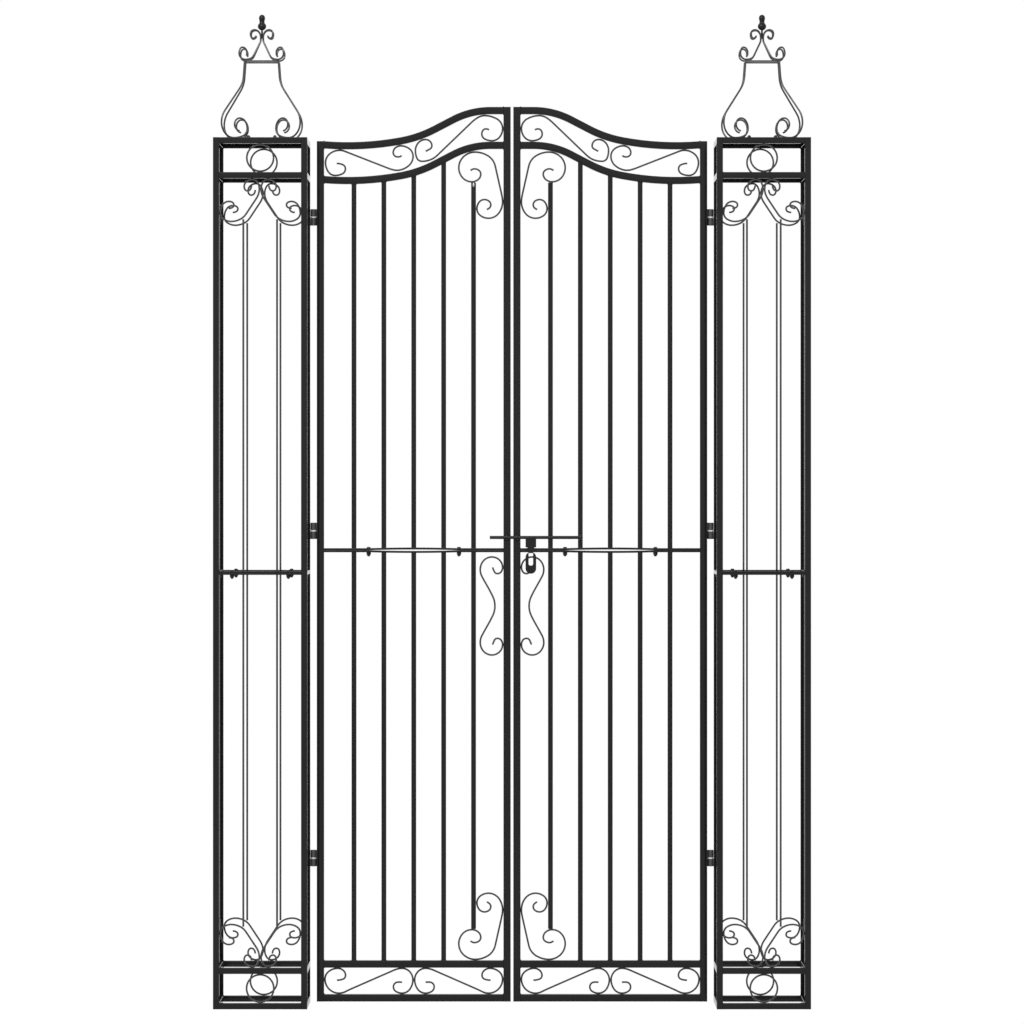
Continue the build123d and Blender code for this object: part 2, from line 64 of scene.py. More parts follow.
# Sides of the posts. Each side is a ladder of thin square steel tube and round rod, cut square and welded,
# in two halves that meet at a pair of flat bars, and front and back carry the corner tubes. The paint is
# gloss black with a hard, slightly rippled skin. It is greyer on thin rod, a painted sheen for the
# highlights that round rod catches, and deepest on the back tubes and upper back rails, a painted shade
# from the front tubes.
class Signal:
    """A shader socket that takes Python's operators."""

    def __init__(self, finish, socket):
        self.finish = finish
        self.socket = socket

    def math(self, operation, first, second):
        return self.finish.node("ShaderNodeMath", {"operation": operation}, {0: first, 1: second})

    def __add__(self, other):
        return self.math("ADD", self, other)

    __radd__ = __add__

    def __mul__(self, other):
        return self.math("MULTIPLY", self, other)

    __rmul__ = __mul__


class Finish:
    """The nodes of a material, or of the surroundings, and the shader that comes with it."""

    def __init__(self, owner, shader="Principled BSDF"):
        owner.use_nodes = True
        self.owner = owner
        self.tree = owner.node_tree
        self.shader = self.tree.nodes[shader]

    def node(self, kind, settings, links, output=0):
        """Adds a node, sets it up, feeds its sockets and gives one of its outputs."""
        made = self.tree.nodes.new(kind)
        for name, value in settings.items():
            setattr(made, name, value)
        for name, value in links.items():
            self.feed(made.inputs[name], value)
        return Signal(self, made.outputs[output])

    def feed(self, socket, value):
        if isinstance(value, Signal):
            self.tree.links.new(value.socket, socket)
        else:
            socket.default_value = value

    def mix(self, share, first, second):
        """A colour between two others. The Mix node's colour sockets go by number: their names repeat."""
        colours = {"Factor": share, 6: first, 7: second}
        return self.node("ShaderNodeMix", {"data_type": "RGBA"}, colours, 2)

    def shade(self, **sockets):
        for name, value in sockets.items():
            self.feed(self.shader.inputs[name.replace("_", " ")], value)


def noise(finish, place, scale, detail):
    """Soft patches from nought to one."""
    return finish.node(
        "ShaderNodeTexNoise", {}, {"Vector": place, "Scale": scale, "Detail": detail}, "Fac"
    )


deep_blue_share = 1.06
worn_blue_share = 1.04


def gloss_black(name, tones, specular, peel_height):
    """Black paint on steel: faint clouds of tone, a rippled skin and a gloss that varies a little."""
    paint = Finish(bpy.data.materials.new(name))
    place = paint.node("ShaderNodeTexCoord", {}, {}, "Object")
    cloud = noise(paint, place, scale=9.0, detail=3.0)
    speck = noise(paint, place, scale=2600.0, detail=1.0)
    peel = noise(paint, place, scale=620.0, detail=2.0)
    deep, worn = tones
    deep_colour = (deep, deep, deep * deep_blue_share, 1)
    worn_colour = (worn, worn, worn * worn_blue_share, 1)
    ripple = {"Strength": 0.1, "Distance": peel_height, "Height": peel}
    paint.shade(
        Base_Color=paint.mix(cloud * 0.7 + speck * 0.3, deep_colour, worn_colour),
        Roughness=0.08 + cloud * 0.04 + speck * 0.03,
        Specular_IOR_Level=specular,
        Normal=paint.node("ShaderNodeBump", {}, ripple),
    )
    return paint.owner


tube_peel = 0.00004
rod_peel = 0.00005
tube_paint = gloss_black("gloss_black_tube_paint", (0.0042, 0.0100), 0.25, tube_peel)
# Painted shade: a darker copy of the tube paint, for the back tubes and upper back rails that the front
# tubes shade.
painted_shade_tube_paint = gloss_black("gloss_black_painted_shade_tube_paint", (0.0016, 0.0036), 0.10, tube_peel)
# Painted sheen: a lighter copy of the paint for thin rod, standing in for the highlights that round rod
# catches.
painted_sheen_rod_paint = gloss_black("gloss_black_painted_sheen_rod_paint", (0.026, 0.055), 0.5, rod_peel)


class Plane:
    """An upright working plane: across, up and out, from a place in the gate."""

    def __init__(self, origin, across):
        self.origin = Vector(origin)
        self.across = Vector(across).normalized()
        self.up = Vector((0, 0, 1))
        self.out = self.across.cross(self.up)

    def at(self, across, up, out=0.0):
        return self.origin + self.across * across + self.up * up + self.out * out


class Shape:
    """Vertices and faces that grow bar by bar into one piece."""

    def __init__(self):
        self.points = []
        self.faces = []

    def loft(self, rings, closed=False):
        """Skins rings of equal count, and caps the two ends of an open run."""
        first = len(self.points)
        count = len(rings[0])
        for ring in rings:
            self.points += ring
        spans = len(rings) if closed else len(rings) - 1
        for span in range(spans):
            here = first + span * count
            there = first + (span + 1) % len(rings) * count
            for step in range(count):
                after = (step + 1) % count
                self.faces.append((here + step, here + after, there + after, there + step))
        if not closed:
            last = first + (len(rings) - 1) * count
            self.faces.append(tuple(range(first + count - 1, first - 1, -1)))
            self.faces.append(tuple(range(last, last + count)))

    def sweep(self, plane, line, section, closed=False):
        """Carries a section of (aside, out) points along a line in the plane."""
        rings = []
        for step, here in enumerate(line):
            before = line[step - 1] if step or closed else here
            after = line[(step + 1) % len(line)] if step + 1 < len(line) or closed else here
            ahead = (after - before).normalized()
            aside = Vector((-ahead.y, ahead.x))
            rings.append(
                [
                    plane.at(here.x + aside.x * wide, here.y + aside.y * wide, deep)
                    for wide, deep in section
                ]
            )
        self.loft(rings, closed)

    def turn(self, foot, axis, profile, sides):
        """Turns (radius, along) points about an axis."""
        axis = Vector(axis).normalized()
        first = axis.orthogonal().normalized()
        second = axis.cross(first)
        rings = []
        for radius, along in profile:
            rings.append(
                [
                    foot
                    + axis * along
                    + (first * math.cos(turn) + second * math.sin(turn)) * radius
                    for turn in (2 * math.pi * side / sides for side in range(sides))
                ]
            )
        self.loft(rings)

    def piece(self, name, material, body, slot, *nodes, smooth=35):
        """Makes the piece and sets it on its body, in place of the named nodes."""
        mesh = bpy.data.meshes.new(name)
        mesh.from_pydata(self.points, [], self.faces)
        shell = bmesh.new()
        shell.from_mesh(mesh)
        bmesh.ops.recalc_face_normals(shell, faces=shell.faces)
        for edge in shell.edges:
            if len(edge.link_faces) == 2:
                edge.smooth = edge.calc_face_angle() < math.radians(smooth)
        for face in shell.faces:
            face.smooth = True
        shell.to_mesh(mesh)
        shell.free()
        mesh.materials.append(material)
        made = bpy.data.objects.new(name, mesh)
        bpy.context.scene.collection.objects.link(made)
        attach(made, body)
        if nodes:
            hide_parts(*nodes)


def rounded_bar(wide, deep, corner, steps=4):
    """The section of a rolled bar or tube with rounded corners."""
    section = []
    for quarter in range(4):
        sign_wide = 1 if quarter in (0, 3) else -1
        sign_deep = 1 if quarter in (0, 1) else -1
        for step in range(steps + 1):
            turn = math.pi / 2 * (quarter + step / steps)
            section.append(
                (
                    sign_wide * (wide / 2 - corner) + corner * math.cos(turn),
                    sign_deep * (deep / 2 - corner) + corner * math.sin(turn),
                )
            )
    return section


def round_bar(diameter, sides=12):
    """The section of a round rod."""
    turns = [2 * math.pi * side / sides for side in range(sides)]
    return [(diameter / 2 * math.cos(turn), diameter / 2 * math.sin(turn)) for turn in turns]


def straight(low, high, steps=1):
    """Points along a straight bar."""
    return [Vector(low).lerp(Vector(high), step / steps) for step in range(steps + 1)]


lumps = random.Random(11)
bead_sides = 7
bead_bluntness = 6
bead_tip_share = 0.15
fewest_drops = 4
drop_count_share = 1.6
drop_swell_shares = (0.8, 1.15)
drop_ripple_shares = (0.92, 1.08)


def weld(shape, plane, across, up, length, size):
    """A short bead of weld that runs through the plane's depth, lumpy from its drops."""
    drops = max(fewest_drops, round(length / size * drop_count_share))
    rings = []
    for step in range(drops + 1):
        share = step / drops
        blunt = math.sqrt(max(0.0, 1 - (2 * share - 1) ** bead_bluntness))
        swell = blunt * lumps.uniform(*drop_swell_shares)
        radius = max(size * swell, size * bead_tip_share)
        deep = (share - 0.5) * length
        ring = []
        for side in range(bead_sides):
            turn = 2 * math.pi * side / bead_sides
            reach = radius * lumps.uniform(*drop_ripple_shares)
            ring.append(plane.at(across + reach * math.cos(turn), up + reach * math.sin(turn), deep))
        rings.append(ring)
    shape.loft(rings)


SIDES = {"left": -1, "right": 1}
post_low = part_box("left_post_front_lower")[0]
post_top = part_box("left_post_front_upper")[1]
post_side = post_top.x - post_low.x
post_height = post_top.z
post_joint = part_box("left_post_front_lower")[1].z
post_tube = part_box("left_post_front_lower")[1].y - post_low.y
post_inside = post_side - 2 * post_tube
foot_band = 0.0595
head_band = 0.0585
post_corner = 0.0009
joint_bar = 0.0039
joint_bar_edge = 0.0005
thin_rod = 0.0041
thin_rod_offset = 0.0344
thin_rod_reach = 0.0835
post_weld = 0.0011
weld_length_share = 0.8
foot_rail = post_tube + foot_band
head_rail = post_height - 2 * post_tube - head_band


def post_plane(side, face):
    """The working plane of one side of a post."""
    low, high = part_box(f"{side}_post_{face}_lower")
    middle = (low + high) / 2
    across = (1, 0, 0) if face in ("front", "back") else (0, 1, 0)
    return Plane((middle.x, middle.y, 0), across)


def post_half(side, face, half):
    """One half of a side of a post, with its beads of weld in the corners of the rails."""
    corners, shape, rods = Shape(), Shape(), Shape()
    plane = post_plane(side, face)
    tube = rounded_bar(post_tube, post_tube, post_corner)
    inside = post_inside / 2
    upper = half == "upper"
    if face in ("front", "back"):
        ends = (post_joint, post_height) if upper else (0.0, post_joint)
        for hand in (-1, 1):
            place = hand * (inside + post_tube / 2)
            corners.sweep(plane, straight((place, ends[0]), (place, ends[1])), tube)
    rails = (head_rail, post_height - post_tube) if upper else (0.0, foot_rail)
    for low in rails:
        level = low + post_tube / 2
        shape.sweep(plane, straight((-inside, level), (inside, level)), tube)
        for hand in (-1, 1):
            for edge in (low, low + post_tube):
                if 0.0 < edge < post_height:
                    weld(shape, plane, hand * inside, edge, post_tube * weld_length_share, post_weld)
    level = post_joint + (joint_bar / 2 if upper else -joint_bar / 2)
    flat = rounded_bar(joint_bar, post_tube, joint_bar_edge)
    shape.sweep(plane, straight((-inside, level), (inside, level)), flat)
    rod = round_bar(thin_rod)
    lower_end = foot_rail + post_tube + thin_rod_reach
    rod_ends = (level, head_rail - thin_rod_reach) if upper else (lower_end, level)
    for hand in (-1, 1):
        place = hand * thin_rod_offset
        rods.sweep(plane, straight((place, rod_ends[0]), (place, rod_ends[1])), rod)
    name = f"{side}_post_{face}_{half}"
    # On the back side the corner tubes and upper rails take the darker copy of the paint: painted shade
    # from the front side's tubes.
    painted_shade_face = face == "back"
    rail_paint = painted_shade_tube_paint if painted_shade_face and upper else tube_paint
    shape.piece(f"{name}_rails", rail_paint, "posts", "black_paint", name)
    if corners.points:
        corner_paint = painted_shade_tube_paint if painted_shade_face else tube_paint
        corners.piece(f"{name}_corner_tubes", corner_paint, "posts", "black_paint", name)
    rods.piece(f"{name}_rods", painted_sheen_rod_paint, "posts", "black_paint", name)


for side in SIDES:
    for face in ("front", "back", "outer", "inner"):
        for half in ("lower", "upper"):
            post_half(side, face, half)


# Rings and scrolls of the posts. Thin round rod, bent cold around a former into rings and double curls, is
# tacked between the rails, a pair of scrolls at each end of a side and a ring in each end band.
scroll_rod = 0.0038
scroll_sink = 0.0001
scroll_seat = scroll_rod / 2 - scroll_sink
post_scroll_height = 0.088
ring_tack = 0.00147
arc_step = 9
flat_turn = 0.001
post_scroll_shares = (
    (0.217, 0.692, 0),
    (0.351, 0.607, 270),
    (0.225, 0.526, 180),
    (0.000, 0.797, 90),
    (0.286, 1.000, 0),
    (0.660, 0.825, None),
    (0.925, 0.455, None),
    (1.000, 0.233, 270),
    (0.820, 0.000, 180),
    (0.614, 0.175, 90),
    (0.698, 0.276, 0),
    (0.800, 0.150, 270),
)


def heading_of(degrees):
    """A direction in the plane."""
    return Vector((math.cos(math.radians(degrees)), math.sin(math.radians(degrees))))


def arc(start, heading, end):
    """Points of the arc that leaves the start along a heading and reaches the end."""
    chord = end - start
    aside = Vector((-heading.y, heading.x))
    rise = chord.dot(aside)
    turn = 2 * math.atan2(rise, chord.dot(heading))
    if abs(turn) < flat_turn:
        return [end]
    radius = chord.dot(chord) / (2 * rise)
    steps = max(2, math.ceil(abs(turn) / math.radians(arc_step)))
    line = []
    for step in range(steps):
        turned = turn * (step + 1) / steps
        line.append(start + (heading * math.sin(turned) + aside * (1 - math.cos(turned))) * radius)
    return line


def in_box(shares, low_x, high_x, low_z, high_z):
    """A scroll's places and headings in the box that it fills."""
    return [
        (Vector((low_x + across * (high_x - low_x), low_z + up * (high_z - low_z))), turn)
        for across, up, turn in shares
    ]


def scroll_line(bends):
    """The middle line of a scroll: pairs of arcs that run into each other, and straight runs."""
    places = [place for place, turn in bends]
    runs = [turn is None for place, turn in bends]
    headings = []
    for step, (place, turn) in enumerate(bends):
        if turn is not None:
            headings.append(heading_of(turn))
        elif runs[step - 1]:
            headings.append((place - places[step - 1]).normalized())
        else:
            headings.append((places[step + 1] - place).normalized())
    line = [places[0]]
    for step in range(len(places) - 1):
        start, end = places[step], places[step + 1]
        leaving, reaching = headings[step], headings[step + 1]
        if runs[step] and runs[step + 1]:
            line.append(end)
            continue
        chord = end - start
        along = chord.dot(leaving + reaching)
        spread = 2 * (1 - leaving.dot(reaching))
        reach = (math.sqrt(along**2 + spread * chord.dot(chord)) - along) / spread
        middle = (start + end + (leaving - reaching) * reach) / 2
        line += arc(start, leaving, middle)
        turned = ((end - reaching * reach) - (start + leaving * reach)).normalized()
        line += arc(middle, turned, end)
    return line


def circle_line(middle, radius, steps=40):
    """Points around a ring."""
    return [middle + heading_of(360 * step / steps) * radius for step in range(steps)]


rod_section = round_bar(scroll_rod, sides=10)
post_scroll = scroll_line(
    in_box(
        post_scroll_shares,
        scroll_seat - post_inside / 2,
        -scroll_seat,
        foot_rail + post_tube + scroll_seat,
        foot_rail + post_tube + post_scroll_height,
    )
)
turn_height = (foot_rail + post_tube + head_rail) / 2
for side in SIDES:
    shape = Shape()
    for face in ("front", "back", "outer", "inner"):
        plane = post_plane(side, face)
        for hand in (1, -1):
            for end in (1, -1):
                line = []
                for place in post_scroll:
                    line.append(Vector((hand * place.x, turn_height + end * (place.y - turn_height))))
                shape.sweep(plane, line, rod_section)
        for low, band in ((post_tube, foot_band), (head_rail + post_tube, head_band)):
            middle = Vector((0, low + band / 2))
            ring = circle_line(middle, band / 2 - scroll_rod / 2)
            shape.sweep(plane, ring, rod_section, closed=True)
            for edge in (low, low + band):
                weld(shape, plane, 0.0, edge, scroll_rod, ring_tack)
    shape.piece(f"{side}_post_scroll_rods", painted_sheen_rod_paint, "posts", "black_paint", f"{side}_post_scrolls")


# Bolts of the post joints. The two flat bars of each joint are drawn together by two screws a side, with a
# button head above and a hexagon cap nut below, painted with the post.
button_head_shares = ((0.98, 0), (1.0, 0.12), (0.86, 0.42), (0.5, 0.6), (0.05, 0.66))
hexagon_shares = ((1.05, 0), (1.12, 0.12), (1.12, 0.95), (0.98, 1.1))
cap_shares = ((0.86, 1.1), (0.82, 1.38), (0.70, 1.63), (0.51, 1.83), (0.27, 1.96), (0.05, 2.0))


def cap_nut(shape, foot, axis, size):
    """A hexagon nut with a domed cap."""
    for shares, sides in ((hexagon_shares, 6), (cap_shares, 14)):
        shape.turn(foot, axis, [(size * wide, size * along) for wide, along in shares], sides)


def bolt(shape, plane, across, level, grip, size):
    """A button head on the upper bar, and a hexagon cap nut under the lower one."""
    head = [(size * wide, size * along) for wide, along in button_head_shares]
    shape.turn(plane.at(across, level + grip), (0, 0, 1), head, sides=14)
    cap_nut(shape, plane.at(across, level - grip), (0, 0, -1), size)


bolt_size = 0.0042
post_bolt_offset = 0.0575
for side in SIDES:
    shape = Shape()
    for face in ("front", "back", "outer", "inner"):
        plane = post_plane(side, face)
        for hand in (-1, 1):
            bolt(shape, plane, hand * post_bolt_offset, post_joint, joint_bar, bolt_size)
    shape.piece(f"{side}_post_bolts", tube_paint, "posts", "black_paint")


# Finial feet. Two flat steel bars cross aslant in each post's top frame, welded flush with its side rails,
# and a cap nut part of the way along each arm holds the finial's foot down.
finial_slant = 36
finial_turns = (finial_slant, 180 - finial_slant, 180 + finial_slant, -finial_slant)
finial_stretch = 1 / math.cos(math.radians(finial_slant))
cross_wide = 0.012
cross_edge = 0.0006
cross_nut_offset = 0.027
cross_nut_size = 0.0043
for side in SIDES:
    low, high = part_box(f"{side}_finial_cross")
    middle = (low + high) / 2
    cross_thick = high.z - low.z
    shape = Shape()
    for turn in finial_turns[:2]:
        ahead = Vector((*heading_of(turn), 0))
        aside = Vector((-ahead.y, ahead.x, 0))
        rings = []
        for hand in (-1, 1):
            end = middle + ahead * hand * finial_stretch * (high.x - low.x) / 2
            rings.append(
                [
                    end + aside * wide + ahead * wide * math.tan(math.radians(turn)) + Vector((0, 0, deep))
                    for wide, deep in rounded_bar(cross_wide, cross_thick, cross_edge, steps=2)
                ]
            )
            spot = middle + ahead * hand * finial_stretch * cross_nut_offset
            cap_nut(shape, Vector((spot.x, spot.y, high.z)), (0, 0, 1), cross_nut_size)
        shape.loft(rings)
    shape.piece(f"{side}_finial_foot", tube_paint, "posts", "black_paint", f"{side}_finial_cross")


# Finial bells. Four rods rise from curls on the cross, swell outwards and draw in to an oblong ring of the
# same rod, to which their tips are welded.
bell_reach = 0.0805
bell_height = 0.1585
neck_rod = 0.0035
neck_weld = 0.0021
bell_shares = (
    (0.432, 1.000, 275),
    (0.561, 0.648, None),
    (0.912, 0.365, None),
    (1.000, 0.207, 270),
    (0.704, 0.013, 180),
    (0.366, 0.142, 90),
    (0.545, 0.270, 0),
    (0.677, 0.188, 270),
    (0.560, 0.105, 190),
)
neck_section = round_bar(neck_rod, sides=10)
neck_half = bell_shares[0][0] * bell_reach
neck_level = post_height + bell_height + neck_rod / 2
bell_line = scroll_line(
    in_box(bell_shares, 0, bell_reach * finial_stretch, post_height, post_height + bell_height)
)


def finial_planes(side):
    """The four upright planes from a post's axis in which the finial's rods stand."""
    low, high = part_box(f"{side}_finial_cross")
    middle = (low + high) / 2
    return [Plane((middle.x, middle.y, 0), (*heading_of(turn), 0)) for turn in finial_turns]


for side in SIDES:
    shape = Shape()
    rings = []
    for plane in finial_planes(side):
        shape.sweep(plane, bell_line, rod_section)
        corner = plane.at(neck_half * finial_stretch, neck_level)
        mitre = Vector((math.copysign(1, plane.across.x), math.copysign(1, plane.across.y), 0))
        rings.append([corner + mitre * wide + Vector((0, 0, deep)) for wide, deep in neck_section])
        weld(shape, plane, neck_half * finial_stretch, neck_level - neck_weld, 2 * neck_weld, neck_weld)
    shape.loft(rings, closed=True)
    name = f"{side}_finial_bell"
    shape.piece(f"{name}_rods", painted_sheen_rod_paint, "posts", "black_paint", name, smooth=60)


# Finial crowns. Four scrolls stand on the neck ring's corners, lean together and are welded around the
# spire's spigot, and their upper curls turn outwards under the spire.
crown_reach = 0.0455
crown_height = 0.0637
crown_weld = 0.0018
crown_seat_share = 0.9
crown_base = post_height + bell_height + crown_seat_share * neck_rod
crown_shares = (
    (0.675, 0.154, 98),
    (0.664, 0.248, 90),
    (0.845, 0.418, 0),
    (1.000, 0.221, 270),
    (0.750, 0.031, 180),
    (0.363, 0.180, None),
    (0.085, 0.600, None),
    (0.055, 0.763, 90),
    (0.315, 1.000, 0),
    (0.503, 0.876, 270),
    (0.402, 0.727, 180),
    (0.270, 0.816, 90),
)
crown_seat = crown_shares[4][0] * crown_reach * finial_stretch
crown_line = scroll_line(
    in_box(crown_shares, 0, crown_reach * finial_stretch, crown_base, crown_base + crown_height)
)
for side in SIDES:
    shape = Shape()
    for plane in finial_planes(side):
        shape.sweep(plane, crown_line, rod_section)
        weld(shape, plane, crown_seat, crown_base, 2 * crown_weld, crown_weld)
    shape.piece(f"{side}_finial_crown_rods", painted_sheen_rod_paint, "posts", "black_paint", f"{side}_finial_crown")


# Spires. A small turned steel knob, with a round bulb, a waist and a round head, is pushed on a spigot
# between the crown scrolls.
spire_height = 0.032
spire_radius = 0.0089
spire_shares = (
    (0.22, -0.56),
    (0.22, 0.0),
    (0.39, 0.0),
    (0.66, 0.05),
    (0.86, 0.11),
    (0.97, 0.18),
    (1.00, 0.25),
    (0.97, 0.315),
    (0.87, 0.37),
    (0.71, 0.42),
    (0.61, 0.47),
    (0.585, 0.53),
    (0.61, 0.60),
    (0.69, 0.68),
    (0.73, 0.75),
    (0.71, 0.82),
    (0.62, 0.90),
    (0.43, 0.96),
    (0.20, 0.99),
    (0.02, 1.0),
)
spire_profile = [(wide * spire_radius, up * spire_height) for wide, up in spire_shares]
for side in SIDES:
    shape = Shape()
    axis = finial_planes(side)[0]
    shape.turn(axis.at(0, crown_base + crown_height), (0, 0, 1), spire_profile, sides=32)
    name = f"{side}_finial_spire"
    shape.piece(f"{side}_finial_knob", tube_paint, "posts", "black_paint", name, smooth=50)


# Hinges. Each leaf hangs on three pairs of turned steel barrels welded to the tubes: the lower barrel
# carries the pin, a pale nylon washer lies on it, and the upper barrel drops over both. Their paint is
# rubbed grey in patches and lighter all over, a painted sheen for the highlight the round barrels catch.
def rubbed_and_sheen_black(name):
    """Thin black paint on turned steel, rubbed grey in patches and lighter all over as a painted sheen."""
    finish = Finish(bpy.data.materials.new(name))
    place = finish.node("ShaderNodeTexCoord", {}, {}, "Object")
    rub = noise(finish, place, scale=420.0, detail=3.0)
    painted = (0.040, 0.040, 0.042, 1)
    rubbed_and_sheen_grey = (0.110, 0.110, 0.113, 1)
    finish.shade(Base_Color=finish.mix(rub, painted, rubbed_and_sheen_grey), Roughness=0.34 + rub * 0.12)
    return finish.owner


def nylon(name):
    """Off-white plastic, a little soiled."""
    finish = Finish(bpy.data.materials.new(name))
    place = finish.node("ShaderNodeTexCoord", {}, {}, "Object")
    soil = noise(finish, place, scale=240.0, detail=3.0)
    soiled = (0.84, 0.84, 0.82, 1)
    clean = (0.94, 0.94, 0.93, 1)
    finish.shade(Base_Color=finish.mix(soil, soiled, clean), Roughness=0.42 + soil * 0.15)
    return finish.owner


# Painted sheen: the barrel paint is partly rubbed grey and partly lightened to stand in for the barrels'
# highlight.
barrel_wear_and_sheen_paint = rubbed_and_sheen_black("rubbed_and_sheen_black_barrel_paint")
washer_nylon = nylon("pale_nylon")
joints = {joint["name"]: joint for joint in frame["joints"]}
hinge_levels = (0.2967, 0.9745, 1.6238)
barrel_radius = 0.0067
barrel_length = 0.0153
washer_thick = 0.0032
hinge_play = 0.0001
barrel_chamfer = 0.0007
washer_rim = 0.0067
washer_chamfer = 0.0004
tang_thick = 0.005
tang_edge = 0.0006
tang_setback = 0.0015


def chamfered(radius, length, chamfer):
    """The profile of a turned bar with broken edges."""
    face = radius - chamfer
    return [(face, 0), (radius, chamfer), (radius, length - chamfer), (face, length)]


def tang(shape, axis, end_x, low, high):
    """The flat that joins a barrel to its tube."""
    plane = Plane((axis.x, axis.y - tang_setback, 0), (1, 0, 0))
    flat = rounded_bar(high - low, tang_thick, tang_edge, steps=2)
    level = (low + high) / 2
    shape.sweep(plane, straight((0.0, level), (end_x - axis.x, level)), flat)


barrel_profile = chamfered(barrel_radius, barrel_length, barrel_chamfer)
washer_profile = chamfered(washer_rim, washer_thick, washer_chamfer)
for side, hand in SIDES.items():
    axis = Vector(joints[f"{side}_leaf_swing"]["pos_m"])
    pins, washers, barrels = Shape(), Shape(), Shape()
    post_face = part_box(f"{side}_post_back_lower")[1 if hand < 0 else 0].x
    leaf_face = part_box(f"{side}_leaf_lower")[0 if hand < 0 else 1].x
    for level in hinge_levels:
        low = level - washer_thick / 2 - barrel_length
        pins.turn(Vector((axis.x, axis.y, low)), (0, 0, 1), barrel_profile, sides=28)
        tang(pins, axis, post_face, low, low + barrel_length)
        washer_foot = Vector((axis.x, axis.y, level - washer_thick / 2))
        washers.turn(washer_foot, (0, 0, 1), washer_profile, sides=28)
        high = level + washer_thick / 2 + hinge_play
        barrels.turn(Vector((axis.x, axis.y, high)), (0, 0, 1), barrel_profile, sides=28)
        tang(barrels, axis, leaf_face, high, high + barrel_length)
    name = f"{side}_hinge"
    pins.piece(f"{name}_lower_barrels", barrel_wear_and_sheen_paint, "posts", "black_paint", f"{name}_pins")
    washers.piece(f"{name}_nylon_washers", washer_nylon, "posts", "washer_nylon", f"{name}_washers")
    barrels.piece(f"{name}_upper_barrels", barrel_wear_and_sheen_paint, f"{side}_leaf", "black_paint", f"{name}_knuckles")


# Frames of the leaves. Heavier square steel tube makes the stiles and the doubled rails, the top pair bent
# to a swept crest, with solid square bars welded between. Each leaf is made in two halves, like the posts,
# whose flat middle bars spring apart a little between their bolts.
gate_middle = (solid_low.x + solid_high.x) / 2
leaf_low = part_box("left_leaf_lower")[0]
leaf_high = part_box("left_leaf_upper")[1]
leaf_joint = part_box("left_leaf_lower")[1].z
leaf_tube = leaf_high.y - leaf_low.y
leaf_middle_y = (leaf_low.y + leaf_high.y) / 2
leaf_outer = leaf_low.x - gate_middle
leaf_inner = leaf_high.x - gate_middle
leaf_corner = 0.0009
leaf_bar = 0.0100
leaf_bar_corner = 0.0003
leaf_bar_sink = 0.002
bar_spaces = 6
base_band = 0.055
crest_height = leaf_high.z
crest_flat = 0.042
crest_radius = 0.1665
sweep_slope = 27.5
sweep_run = 0.043
dip_radius = 0.2495
dip_slope = 10.5
shoulder_radius = 0.6075
bend_step = 2.0
fewest_bend_steps = 3
top_band_drop = 0.072
leaf_joint_bar = 0.0043
leaf_joint_deep = 0.012
leaf_joint_edge = 0.0006
leaf_joint_bow = 0.0014
leaf_bow_steps = 24
leaf_bolt_offset = 0.0935
leaf_weld = 0.0014
bar_weld_share = 0.8
clear_outer = leaf_outer + leaf_tube
clear_inner = leaf_inner - leaf_tube
clear_width = clear_inner - clear_outer
leaf_middle = (clear_outer + clear_inner) / 2
bar_places = [clear_outer + clear_width / bar_spaces * (count + 1) for count in range(bar_spaces - 1)]
base_rail = leaf_low.z + leaf_tube + base_band
base_rail_top = base_rail + leaf_tube
corner_height = 0.137
corner_width = 0.0907
corner_drop = 0.0062
corner_low = crest_height - top_band_drop - leaf_tube - corner_drop - corner_height
corner_rest_share = 0.5495
corner_bar_high = corner_low + corner_rest_share * corner_height - scroll_seat
corner_bar_low = base_rail_top + 2 * scroll_seat + (1 - corner_rest_share) * corner_height


def bend(line, heading, radius, turn):
    """Runs a line on round an arc, and gives the heading that it leaves on."""
    aside = Vector((-heading.y, heading.x)) * (1 if turn > 0 else -1)
    start = line[-1]
    last = math.radians(abs(turn))
    steps = max(fewest_bend_steps, math.ceil(abs(turn) / bend_step))
    for step in range(steps):
        turned = last * (step + 1) / steps
        line.append(start + (heading * math.sin(turned) + aside * (1 - math.cos(turned))) * radius)
    return heading * math.cos(last) + aside * math.sin(last)


def swept_rail():
    """The middle line of the top rail, from the meeting stile to the outer stile."""
    line = [Vector((clear_inner, crest_height - leaf_tube / 2))]
    heading = Vector((-1, 0))
    line.append(Vector((leaf_inner - crest_flat, line[0].y)))
    heading = bend(line, heading, crest_radius, sweep_slope)
    line.append(line[-1] + heading * sweep_run)
    heading = bend(line, heading, dip_radius, dip_slope - sweep_slope)
    rise = math.sin(math.radians(dip_slope)) - (line[-1].x - clear_outer) / shoulder_radius
    bend(line, heading, shoulder_radius, math.degrees(math.asin(rise)) - dip_slope)
    return line


top_rail = swept_rail()
band_rail = [place - Vector((0, top_band_drop)) for place in top_rail]


def rail_at(line, across):
    """The height at which a rail's middle line passes a place, and its slope there."""
    for first, second in zip(line, line[1:]):
        if second.x <= across <= first.x:
            slope = math.atan2(first.y - second.y, first.x - second.x)
            return first.lerp(second, (across - first.x) / (second.x - first.x)).y, slope
    return line[-1].y, 0.0


def leaf_plane(side):
    """The working plane of a leaf. Across counts from the gate's middle, and down towards the post."""
    return Plane((gate_middle, leaf_middle_y, 0), (-SIDES[side], 0, 0))


def joint_level(across, hand):
    """The height of a middle bar's centre line, which bows away from the joint between its bolts."""
    share = min(1.0, abs(across - leaf_middle) / leaf_bolt_offset)
    return leaf_joint + hand * (leaf_joint_bar / 2 + leaf_joint_bow * (1 - share * share))


